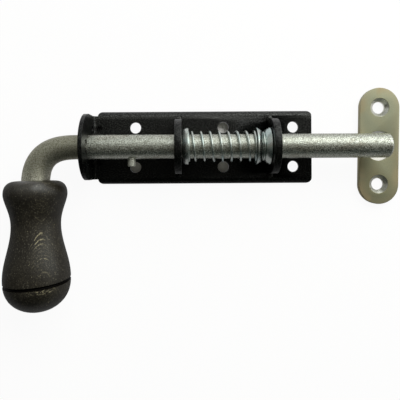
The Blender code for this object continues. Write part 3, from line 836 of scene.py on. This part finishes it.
@dataclass
class Backplate:
    """The pressed plate: a shallow channel whose left end folds up as the first guide lug."""

    width: float = 0.0500
    bend_inside: float = 0.0023
    corner: float = 0.0034
    relief: float = 0.0006
    fold_overlap: float = 0.0010
    lug_width: float = 0.0434
    dart_radius: float = 0.0025
    dart_half: float = 0.0047
    dart_reach: float = 0.0048
    dart_offsets: Pair = (-0.0105, 0.0128)
    seam_dip: float = 0.00003
    hole_radius: float = 0.0038
    hole_columns: tuple[float, ...] = (0.0632, 0.0153, -0.0447)
    hole_row: float = 0.0135
    foot_half: float = 0.0213
    foot_depth: float = 0.00212
    foot_corner: float = 0.0003
    slot_half: float = 0.0030
    slot_reach: float = 0.0133
    slot_angle: float = 8.0
    trim_depth: float = 0.020
    punch_depth: float = 0.009
    bend_steps: int = 16

    @property
    def bend_outside(self) -> float:
        """Outer radius of the bends."""
        return self.bend_inside + LAYOUT.sheet

    @property
    def shoulder(self) -> float:
        """Where the plate's full width begins."""
        return LAYOUT.plate_left + self.bend_outside + self.relief

    def channel(self) -> list[Pair]:
        """The plate's cross section.

        Returns:
            Its outline.
        """
        half, top = self.width / 2, LAYOUT.plate_top
        centre = (half - self.bend_outside, top - self.bend_outside)
        right = [(half, 0.0), *arc(centre, self.bend_outside, 0, 90, self.bend_steps)]
        back = [*arc(centre, self.bend_inside, 90, 0, self.bend_steps), (half - LAYOUT.sheet, 0.0)]
        left = [(-y, z) for y, z in reversed(right)]
        return right + left + [(-y, z) for y, z in reversed(back)] + back

    def plan(self) -> list[list[Pair]]:
        """The plate seen from above.

        Returns:
            Its outline, then those of its screw holes and lug slots.
        """
        half = self.width / 2
        outlines = [rounded_rectangle((self.shoulder, -half), (LAYOUT.plate_right, half), self.corner)]
        for x in self.hole_columns:
            outlines += [circle(x, side * self.hole_row, self.hole_radius) for side in (-1, 1)]
        for x in (LAYOUT.middle_lug_x, LAYOUT.right_lug_x):
            low, high = (x - self.foot_depth, -self.foot_half), (x + self.foot_depth, self.foot_half)
            outlines.append(rounded_rectangle(low, high, self.foot_corner))
        return outlines

    def fold(self) -> list[Pair]:
        """The strip that folds up as the left lug, seen from the side.

        Returns:
            Its outline.
        """
        left, top = LAYOUT.plate_left, LAYOUT.plate_top
        inner = left + LAYOUT.sheet
        centre = (inner + self.bend_inside, top + self.bend_inside)
        start, high = self.shoulder + self.fold_overlap, LAYOUT.axis_z + self.lug_width
        outside = arc(centre, self.bend_outside, 270, 180, self.bend_steps)
        inside = arc(centre, self.bend_inside, 180, 270, self.bend_steps)
        end = [(start, top - self.seam_dip), (start, top - LAYOUT.sheet + self.seam_dip)]
        return [*outside, (left, high), (inner, high), *inside, *end]

    def keyhole(self) -> list[Pair]:
        """The left lug's bore with the slot that the stop pin passes through.

        Returns:
            Its outline.
        """
        spread = math.degrees(math.asin(self.slot_half / LAYOUT.bore))
        points = arc((0, 0), LAYOUT.bore, 90 + spread, 450 - spread, 72)
        points += arc((0, self.slot_reach - self.slot_half), self.slot_half, 0, 180, 16)
        turn = Matrix.Rotation(math.radians(-self.slot_angle), 2)
        return [tuple(turn @ Vector(point)) for point in points]

    def tongue(self, centre: Matrix) -> Mesh:
        """The strip that folds up, cut to the lug's round outline.

        Args:
            centre: The middle of the plate.

        Returns:
            The strip's mesh.
        """
        half, low = self.lug_width / 2, -LAYOUT.plate_top
        outline = [(half, low), *arc((0, LAYOUT.axis_z), half, 0, 180, 64), (-half, low)]
        at_end = centre @ Matrix.Translation((LAYOUT.plate_left, 0, 0)) @ ALONG_X
        cutter = MAKER.cutter(MAKER.sheet([outline], self.width), at_end)
        strip = MAKER.sheet([self.fold()], 2 * self.width)
        strip.transform(centre @ ALONG_MINUS_Y)
        return MAKER.mesh_of(strip, [("INTERSECT", cutter)])

    def build(self, paint: Coat) -> None:
        """Builds the plate.

        Args:
            paint: Its finish.
        """
        centre = Matrix.Translation((0, LAYOUT.axis_y, 0))
        web = MAKER.sheet([self.channel()], LAYOUT.plate_right - self.shoulder)
        middle = (LAYOUT.plate_right + self.shoulder) / 2
        web.transform(centre @ Matrix.Translation((middle, 0, 0)) @ ALONG_X)
        steps = [("INTERSECT", MAKER.cutter(MAKER.sheet(self.plan(), self.trim_depth), centre)),
                 ("UNION", MAKER.cutter(self.tongue(centre), Matrix()))]
        for offset in self.dart_offsets:
            spot = Vector((LAYOUT.plate_left + LAYOUT.sheet + self.dart_reach / 2,
                           offset, LAYOUT.plate_top + self.dart_reach / 2))
            spindle = [(self.dart_radius * x, self.dart_half * y) for x, y in arc((0, 0), 1.0, -90, 90, 24)]
            place = centre @ Matrix.Translation(spot) @ Matrix.Rotation(math.radians(-45), 4, "Y")
            steps.append(("UNION", MAKER.cutter(MAKER.turned(spindle, 40), place)))
        punch = MAKER.sheet([self.keyhole()], self.punch_depth)
        punch_place = LAYOUT.on_axis(LAYOUT.plate_left + LAYOUT.sheet) @ ALONG_X
        steps.append(("DIFFERENCE", MAKER.cutter(punch, punch_place)))
        plate = MAKER.mesh_of(web, steps)
        MAKER.piece("painted_backplate", plate, Matrix(), Body.BASE, paint, "backplate", 30)


@dataclass
class GuideLug:
    """A stamped lug standing in a slot of the backplate, welded at both ends of its foot."""

    node: str
    x: float
    radius: float = 0.0180
    thickness: float = 0.0045
    foot_half: float = 0.0215
    foot_top: float = 0.0046
    edge: float = 0.0004
    bead_inset: float = 0.0003
    bead_length: float = 0.0034
    bead_height: float = 0.0012
    bead_swell: Pair = (0.10, 0.06)
    bead_waves: Pair = (9.0, 13.0)

    def build(self, paint: Coat) -> None:
        """Builds the lug and its weld beads.

        Args:
            paint: Its finish.
        """
        under = LAYOUT.plate_top - LAYOUT.sheet
        dome = [(self.radius, self.foot_top), *arc((0, LAYOUT.axis_z), self.radius, 0, 180, 72),
                (-self.radius, self.foot_top)]
        foot = self.foot_half
        outline = [(foot, under), (foot, self.foot_top), *dome, (-foot, self.foot_top), (-foot, under)]
        bore = list(reversed(circle(0, LAYOUT.axis_z, LAYOUT.bore)))
        mesh = MAKER.sheet([outline, bore], self.thickness, self.edge)
        place = Matrix.Translation((self.x, LAYOUT.axis_y, 0)) @ ALONG_X
        MAKER.piece(f"painted_{self.node}", mesh, place, Body.BASE, paint, self.node)
        for side in (-1, 1):
            self.bead(side, paint)

    def bead(self, side: int, paint: Coat) -> None:
        """Builds the uneven weld bead at one end of the foot.

        Args:
            side: -1 for the handle's side and 1 for the other.
            paint: Its finish.
        """
        mesh = MAKER.turned(arc((0, 0), 0.5, -90, 90, 20), 32)
        for vert in mesh.vertices:
            x, y, z = vert.co
            along = self.bead_swell[0] * math.sin(self.bead_waves[0] * y + 2 * side)
            across = self.bead_swell[1] * math.sin(self.bead_waves[1] * x + 5 * self.x * 100)
            vert.co.z = z * (1 + along + across)
        width = self.thickness - self.bead_inset
        mesh.transform(Matrix.Diagonal((width, self.bead_length, 2 * self.bead_height, 1)))
        y = LAYOUT.axis_y + side * (self.foot_half + self.radius) / 2
        place = Matrix.Translation((self.x, y, self.foot_top - self.bead_height / 6))
        name = f"{self.node}_bead_{'far' if side > 0 else 'near'}"
        MAKER.piece(name, mesh, place, Body.BASE, paint, sharp=180)


@dataclass
class CupWasher:
    """A cupped washer of pressed steel, its rim and bore edges rolled over."""

    node: str
    back_x: float
    facing: Facing
    body: Body
    rim: float = 0.0122
    back: float = 0.0092
    depth: float = 0.0041
    wall: float = 0.0009
    bore: float = 0.00855
    nip: float = 0.0002
    roundness: float = 0.52
    steps: int = 16

    def profile(self) -> list[Pair]:
        """Section of the cup, its back at height 0.

        Returns:
            Its points of radius and height, the last one next to the first.
        """
        outer, inner = [], []
        for step in range(self.steps + 1):
            share = step / self.steps
            height = share * share * (self.depth - self.wall / 2)
            radius = self.back + (self.rim - self.back) * share ** (2 * self.roundness)
            outer.append((radius, height))
            if height > self.wall * 1.2:
                inner.append((radius - self.wall, height))
        top_radius, top_height = outer[-1]
        rim = arc((top_radius - self.wall / 2, top_height), self.wall / 2, 0, 180, 8)[1:-1]
        hole = [(self.bore + self.nip, 0.0), (self.bore, self.nip),
                (self.bore, self.wall - self.nip), (self.bore + self.nip, self.wall)]
        floor = [(self.back - self.wall, self.wall)]
        return list(reversed(outer)) + hole + floor + inner + list(reversed(rim))

    def build(self, zinc: Coat) -> None:
        """Builds the washer.

        Args:
            zinc: Its finish.
        """
        base = LAYOUT.on_bolt if self.body is Body.BOLT else LAYOUT.on_axis
        turn = ALONG_X if self.facing is Facing.RIGHT else ALONG_MINUS_X
        mesh = MAKER.turned(self.profile(), 96, closed=True)
        MAKER.piece(f"plated_{self.node}", mesh, base(self.back_x) @ turn, self.body, zinc, self.node)


@dataclass
class RetainingRing:
    """The split ring between the two front washers."""

    thickness: float = 0.0008
    outer: float = 0.0098
    inner: float = 0.0074
    half_gap: float = 19.0
    edge: float = 0.0001

    def outline(self) -> list[Pair]:
        """The ring seen along the bolt."""
        outside = arc((0, 0), self.outer, self.half_gap, 360 - self.half_gap, 96)
        return outside + arc((0, 0), self.inner, 360 - self.half_gap, self.half_gap, 96)

    def build(self, zinc: Coat) -> None:
        """Builds the ring.

        Args:
            zinc: Its finish.
        """
        mesh = MAKER.sheet([self.outline()], self.thickness, self.edge)
        place = LAYOUT.on_bolt(LAYOUT.ring_x + self.thickness / 2) @ ALONG_X
        MAKER.piece("plated_ring", mesh, place, Body.BOLT, zinc, "retaining_ring")


@dataclass
class CoilSpring:
    """The compression spring, both end turns closed."""

    left: float = -0.00895
    right: float = 0.03615
    wire: float = 0.00075
    radius: float = 0.00958
    pitch: float = 0.00588
    end_pitch: float = 0.0018
    start: float = math.radians(-43)
    turn_steps: int = 56
    keep: float = 0.46

    def stations(self) -> list[Station]:
        """The wire's centre line.

        Returns:
            Its stations from the left end.
        """
        active = (self.right - self.left - 2 * self.end_pitch) / self.pitch
        turns = active + 2
        count = round(turns * self.turn_steps)
        stations: list[Station] = []
        for step in range(count + 1):
            turn = turns * step / count
            closed = min(turn, 1.0) + max(0.0, turn - 1 - active)
            x = self.left + closed * self.end_pitch + (turn - closed) * self.pitch
            angle = self.start + 2 * math.pi * turn
            stations.append(((x, self.radius * math.cos(angle), self.radius * math.sin(angle)), 1.0))
        return stations

    def build(self, zinc: Coat) -> None:
        """Builds the spring on a mesh of its own.

        Args:
            zinc: Its finish.
        """
        mesh = MAKER.bar(self.stations(), self.wire, 12)
        spring = MAKER.piece("plated_spring", mesh, LAYOUT.on_axis(), Body.BASE, zinc, "compression_spring")
        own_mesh(spring)


@dataclass
class BoltBar:
    """The bolt: a round bar with a rounded tip, bent down into the leg that carries the handle."""

    tip: float = 0.1235
    tip_round: float = 0.0022
    tip_flat: float = 0.775
    tip_steps: int = 12
    elbow_run: float = 0.0298
    elbow_drop: float = 0.0290
    fullness: float = 2.87
    leg_share: float = 1.125
    tang_share: float = 0.625
    tang_end_share: float = 0.75
    shoulder: float = 0.0137
    shoulder_slope: float = 0.0019
    tang_end: float = 0.0557
    tang_chamfer: float = 0.001
    elbow_steps: int = 56

    def stations(self) -> list[Station]:
        """The bar's centre line.

        Returns:
            Its stations from the tip to the end of the tang.
        """
        stations: list[Station] = []
        for step in range(self.tip_steps + 1):
            angle = math.pi / 2 * step / self.tip_steps
            share = self.tip_flat + (1 - self.tip_flat) * math.sin(angle)
            stations.append(((self.tip - self.tip_round * (1 - math.cos(angle)), 0, 0), share))
        lean = math.tan(LAYOUT.leg_lean)
        start = LAYOUT.leg_x - lean * LAYOUT.handle_drop + self.elbow_run
        for step in range(self.elbow_steps + 1):
            angle = math.pi / 2 * step / self.elbow_steps
            run = math.sin(angle) ** (2 / self.fullness)
            drop = self.elbow_drop * (1 - math.cos(angle) ** (2 / self.fullness))
            bent = step / self.elbow_steps
            share = 1 + (self.leg_share - 1) * bent * bent * (3 - 2 * bent)
            stations.append(((start - self.elbow_run * run + lean * drop, -drop, 0), share))
        corner = Vector(stations[-1][0])
        down = Vector((math.sin(LAYOUT.leg_lean), -math.cos(LAYOUT.leg_lean), 0))
        past = LAYOUT.handle_drop - self.elbow_drop
        for depth, share in ((self.shoulder - self.shoulder_slope, self.leg_share),
                             (self.shoulder, self.tang_share),
                             (self.tang_end - self.tang_chamfer, self.tang_share),
                             (self.tang_end, self.tang_end_share * self.tang_share)):
            stations.append((tuple(corner + down * (depth + past)), share))
        return stations

    def build(self, zinc: Coat) -> None:
        """Builds the bar in its finish."""
        mesh = MAKER.bar(self.stations(), LAYOUT.bar_radius, 80)
        MAKER.piece("plated_bolt", mesh, LAYOUT.on_bolt(), Body.BOLT, zinc, "bolt_rod")


@dataclass
class StopPin:
    """The short pin that stops the bolt against the left lug."""

    x: float = -0.0455
    radius: float = 0.0026
    reach: float = 0.0129
    root: float = 0.0012
    edge: float = 0.0005

    def shape(self) -> Mesh:
        """The pin, its root at the top and its end rounded."""
        end = arc((self.radius - self.edge, self.edge - self.reach), self.edge, 0, -90, 8)
        return MAKER.turned([(0, -self.root), (self.radius, -self.root), *end, (0, -self.reach)], 48)

    def build(self, zinc: Coat) -> None:
        """Stands the pin on the bolt in its finish."""
        place = LAYOUT.on_bolt(self.x) @ Matrix.Rotation(-math.pi / 2, 4, "X")
        MAKER.piece("plated_stop_pin", self.shape(), place, Body.BOLT, zinc, "stop_pin")


@dataclass
class Handle:
    """The turned handle: a rounded shoulder, a waist, a scored line and a domed end."""

    length: float = 0.0836
    top: float = 0.0130
    bulge: float = 0.0200
    bulge_at: float = 0.0086
    fullness: float = 2.5
    waist: float = 0.0155
    waist_at: float = 0.0285
    waist_skew: float = 0.8
    low: float = 0.02105
    low_at: float = 0.0625
    dome_fullness: float = 2.4
    groove_at: float = 0.0635
    groove_half: float = 0.0009
    groove_depth: float = 0.0011
    slant: Spot = (-0.00065, 0.0322, 0.0892)
    slant_reach: float = 0.0140
    socket: float = 0.0093
    socket_depth: float = 0.0137
    socket_edge: float = 0.0003

    def radius(self, depth: float) -> float:
        """Outside radius at a depth below the top face.

        Args:
            depth: The depth.

        Returns:
            The radius.
        """
        if depth <= self.bulge_at:
            share = 1 - depth / self.bulge_at
            return self.top + (self.bulge - self.top) * math.sqrt(max(0.0, 1 - share**self.fullness))
        if depth <= self.waist_at:
            share = ((depth - self.bulge_at) / (self.waist_at - self.bulge_at)) ** self.waist_skew
            return self.waist + (self.bulge - self.waist) * (1 + math.cos(math.pi * share)) / 2
        if depth <= self.low_at:
            share = (depth - self.waist_at) / (self.low_at - self.waist_at)
            return self.waist + (self.low - self.waist) * (1 - math.cos(math.pi * share)) / 2
        share = (depth - self.low_at) / (self.length - self.low_at)
        return self.low * math.sqrt(max(0.0, 1 - share**self.dome_fullness))

    def profile(self) -> list[Pair]:
        """Half section of the handle.

        Returns:
            Its points from the socket's floor, over the outside, to the end of the dome.
        """
        depths = [self.bulge_at * (1 - math.cos(math.pi / 2 * step / 16)) for step in range(17)]
        depths += [self.bulge_at + (self.groove_at - self.bulge_at) * step / 60 for step in range(1, 60)]
        dome = self.length - self.groove_at
        depths += [self.groove_at + dome * math.sin(math.pi / 2 * step / 28) for step in range(1, 28)]
        outside = []
        for depth in depths:
            if abs(depth - self.groove_at) > self.groove_half * 1.3:
                outside.append((self.radius(depth), -depth))
        for step in range(-6, 7):
            depth = self.groove_at + self.groove_half * 1.2 * step / 6
            sink = self.groove_depth * math.sqrt(max(0.0, 1 - (step / 5.2) ** 2)) if abs(step) < 6 else 0.0
            outside.append((self.radius(depth) - sink, -depth))
        outside.sort(key=lambda point: -point[1])
        socket = [(0.0, -self.socket_depth), (self.socket, -self.socket_depth),
                  (self.socket, -self.socket_edge), (self.socket + self.socket_edge, 0.0)]
        return socket + outside + [(0.0, -self.length)]

    def slant_groove(self, mesh: Mesh) -> None:
        """Slants the scored line as it was cut, the outline of the handle staying as it is.

        Args:
            mesh: The handle's mesh, changed in place.
        """
        shift, along_x, along_y = self.slant
        for vert in mesh.vertices:
            x, y, z = vert.co
            gap = abs(z + self.groove_at)
            if gap < self.slant_reach:
                share = (1 + math.cos(math.pi * gap / self.slant_reach)) / 2
                lower = z + share * (shift + along_x * x + along_y * y)
                widen = self.radius(-lower) / self.radius(-z)
                vert.co = (x * widen, y * widen, lower)

    def build(self, wood: Coat) -> None:
        """Builds the handle.

        Args:
            wood: Its finish.
        """
        mesh = MAKER.turned(self.profile(), 128)
        self.slant_groove(mesh)
        MAKER.piece("wooden_handle", mesh, LAYOUT.on_leg(), Body.BOLT, wood, "handle_grip", 50)


@dataclass
class StrikePlate:
    """The loose strike plate: round ended, with its bolt hole and two countersunk screw holes."""

    length: float = 0.0801
    width: float = 0.0271
    thickness: float = 0.0040
    edge: float = 0.00035
    x: float = 0.1228
    side_shift: float = 0.0003
    turn: float = math.radians(-1.2)
    hole: float = 0.0102
    screw: float = 0.0041
    countersink: float = 0.00655
    screw_pitch: float = 0.0528

    def place(self) -> Matrix:
        """Where the plate lies, at its middle height."""
        spot = Matrix.Translation((self.x, LAYOUT.axis_y + self.side_shift, self.thickness / 2))
        return spot @ Matrix.Rotation(self.turn, 4, "Z")

    def sinks(self) -> tuple[Pair, ...]:
        """Plan places of the two countersinks, the handle's side first."""
        spots = [self.place() @ Vector((0, side * self.screw_pitch / 2, 0)) for side in (-1, 1)]
        return tuple((spot.x, spot.y) for spot in spots)

    def drill(self) -> Mesh:
        """The countersinking drill.

        Returns:
            The drill as it stands in the plate, past both its faces.
        """
        past, top = self.thickness, self.thickness / 2
        cone = top - (self.countersink - self.screw)
        return MAKER.turned([(0, -past), (self.screw, -past), (self.screw, cone),
                             (self.countersink, top), (self.countersink, past), (0, past)], 72)

    def build(self, zinc: Coat) -> None:
        """Builds the plate.

        Args:
            zinc: Its finish.
        """
        end, run = self.width / 2, (self.length - self.width) / 2
        outline = arc((0, run), end, 0, 180, 64) + arc((0, -run), end, 180, 360, 64)
        mesh = MAKER.sheet([outline, list(reversed(circle(0, 0, self.hole, 96)))], self.thickness, self.edge)
        places = [Matrix.Translation((0, side * self.screw_pitch / 2, 0)) for side in (-1, 1)]
        mesh = MAKER.mesh_of(mesh, [("DIFFERENCE", MAKER.cutter(self.drill(), place)) for place in places])
        MAKER.piece("plated_strike", mesh, self.place(), Body.BASE, zinc, "strike_plate", 25)


@dataclass
class Studio:
    """The pale floor, the soft lamp, the window that the metal mirrors, and the camera."""

    camera_spot: Spot = (-0.0075, 0.01162, 0.3082)
    lens: float = 39.80
    shift: Pair = (0.025, -0.0875)
    roll: float = math.radians(-0.35)
    daylight: float = 0.22
    window: float = 1.60
    lamp_spot: Spot = (0.35, 0.62, 0.48)
    lamp_size: Pair = (0.9, 0.7)
    lamp_power: float = 11.0
    floor_half: float = 3.0
    floor_drop: float = 0.0002
    floor_colour: Colour = (0.92, 0.91, 0.86)
    cut_out: float = 0.94
    shadow_spots: tuple[Spot, ...] = (
        (0.0155, 0.0375, 1.0), (0.0155, 0.0100, 1.0), (-0.0455, 0.0100, 1.0), (0.1228, 0.0345, 0.85),
        (0.1228, 0.0135, 0.92))

    def floor(self) -> None:
        """A white floor that shows its shadow in full only at a few holes of the plates."""
        g = Graph("floor_white")
        g.set_shader(Base_Color=self.floor_colour, Roughness=0.9)
        rays = g.node("LightPath").outputs
        clear = (g.fit(g.away(x, y), (0.007, 1 - depth), (0.010, 1)) for x, y, depth in self.shadow_spots)
        seen = g.times(rays["Is Camera Ray"], g.times(self.cut_out, *clear))
        mirrored = g.largest(rays["Is Glossy Ray"], rays["Is Transmission Ray"])
        # Seen in the metal, the floor glows dimmer towards the near side: a painted shadow of the bolt
        level = g.largest(rays["Is Camera Ray"], g.fit(g.axis("Y"), (-0.02, 0.26), (0.06, 0.60)))
        glow = g.node("Emission", {"Color": WHITE, "Strength": level})
        shaders = {1: g.shader.outputs[0], 2: glow.outputs[0]}
        blend = g.node("MixShader", {0: g.largest(seen, mirrored), **shaders})
        g.feed(g.tree.nodes["Material Output"], {"Surface": blend.outputs[0]})
        mesh = bpy.data.meshes.new("floor")
        half, low = self.floor_half, -self.floor_drop
        corners = [(-half, -half, low), (half, -half, low), (half, half, low), (-half, half, low)]
        mesh.from_pydata(corners, [], [(0, 1, 2, 3)])
        mesh.materials.append(g.material)
        floor = MAKER.linked("floor", mesh)

    def lamp(self) -> None:
        """A soft rectangular lamp that faces the backplate and isn't mirrored."""
        data = bpy.data.lights.new("window_lamp", "AREA")
        data.shape, data.energy = "RECTANGLE", self.lamp_power
        data.size, data.size_y = self.lamp_size
        lamp = MAKER.linked("window_lamp", data)
        aim = Vector((0, LAYOUT.axis_y, 0)) - Vector(self.lamp_spot)
        turn = aim.to_track_quat("-Z", "Y").to_matrix().to_4x4()
        lamp.matrix_world = Matrix.Translation(self.lamp_spot) @ turn
        lamp.visible_glossy = False

    def world(self) -> None:
        """A white sky for the camera, an even one for matt surfaces and a window for the metal."""
        world = bpy.data.worlds.new("studio")
        world.use_nodes = True
        world.cycles.sampling_method = "NONE"
        g = Graph.of_world(world)
        rays = g.node("LightPath").outputs
        x = g.axis("X")
        round_bolt = g.math("ARCTAN2", g.axis("Z"), g.axis("Y"))
        pane = g.times(g.fit(round_bolt, (0.87, self.window), (1.45, 0)),
                       g.fit(x, (-0.15, 0.135), (0.28, 1)), g.fit(round_bolt, (0.05, 0.60), (0.50, 1)))
        wall = g.times(g.fit(round_bolt, (2.45, 0), (2.85, 0.06)), g.fit(x, (-0.25, 0.15), (0.15, 1)))
        ceiling = g.times(g.fit(round_bolt, (1.20, 0.17), (2.60, 0.02)), g.fit(x, (0.45, 1), (0.90, 3.2)))
        room = g.fold("ADD", pane, ceiling, wall)
        level = g.fit(rays["Is Glossy Ray"], (0, self.daylight), (1, 1))
        level = g.times(level, g.largest(room, g.math("SUBTRACT", 1.0, rays["Is Glossy Ray"])))
        white = g.largest(rays["Is Camera Ray"], rays["Is Transmission Ray"])
        tint = g.mix(g.fit(round_bolt, (1.9, 0), (2.5, 1)), (1.0, 0.97, 0.86), (0.86, 1.0, 0.93))
        tint = g.mix(g.fit(round_bolt, (1.1, 0), (1.5, 1)), (0.97, 1.0, 0.96), tint)
        tint = g.mix(white, tint, WHITE)
        g.feed(g.tree.nodes["Background"], {"Color": tint, "Strength": g.largest(level, white)})
        bpy.context.scene.world = world

    def camera(self) -> None:
        """The camera, straight above as in the photograph."""
        data = bpy.data.cameras.new("camera")
        data.sensor_width, data.lens = 36.0, self.lens
        data.shift_x, data.shift_y = self.shift
        data.clip_start = 0.01
        camera = MAKER.linked("camera", data)
        camera.location, camera.rotation_euler = self.camera_spot, (0, 0, self.roll)
        bpy.context.scene.camera = camera

    def build(self) -> None:
        """Sets up the whole studio."""
        bpy.context.scene.view_settings.view_transform = "Standard"
        self.world()
        self.floor()
        self.lamp()
        self.camera()


def main() -> None:
    """Builds every piece in order, then the studio round them."""
    logging.basicConfig(level=logging.INFO, format="%(name)s %(message)s")
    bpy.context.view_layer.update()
    handle, strike = Handle(), StrikePlate()
    paint, bar_zinc, bright = BlackPaint().coat(), ZincBar().coat(), BrightZinc().coat()
    yellowed = YellowedZinc(strike.sinks(), strike.countersink, strike.thickness).coat()
    wood = StainedWood(LAYOUT.on_leg(), handle.groove_at, handle.slant).coat()
    Backplate().build(paint)
    GuideLug("middle_lug", LAYOUT.middle_lug_x).build(paint)
    GuideLug("right_lug", LAYOUT.right_lug_x).build(paint)
    seat_x, thrust_x, stop_x = LAYOUT.seat_washer_x, LAYOUT.thrust_washer_x, LAYOUT.stop_washer_x
    CupWasher("spring_seat_washer", seat_x, Facing.RIGHT, Body.BASE, roundness=0.2).build(bright)
    CupWasher("thrust_washer", thrust_x, Facing.LEFT, Body.SLIDER).build(bright)
    CupWasher("stop_washer", stop_x, Facing.RIGHT, Body.BOLT).build(bright)
    RetainingRing().build(bright)
    CoilSpring().build(bright)
    BoltBar().build(bar_zinc)
    StopPin().build(bar_zinc)
    handle.build(wood)
    strike.build(yellowed)
    Studio().build()


if __name__ == "__main__":
    main()
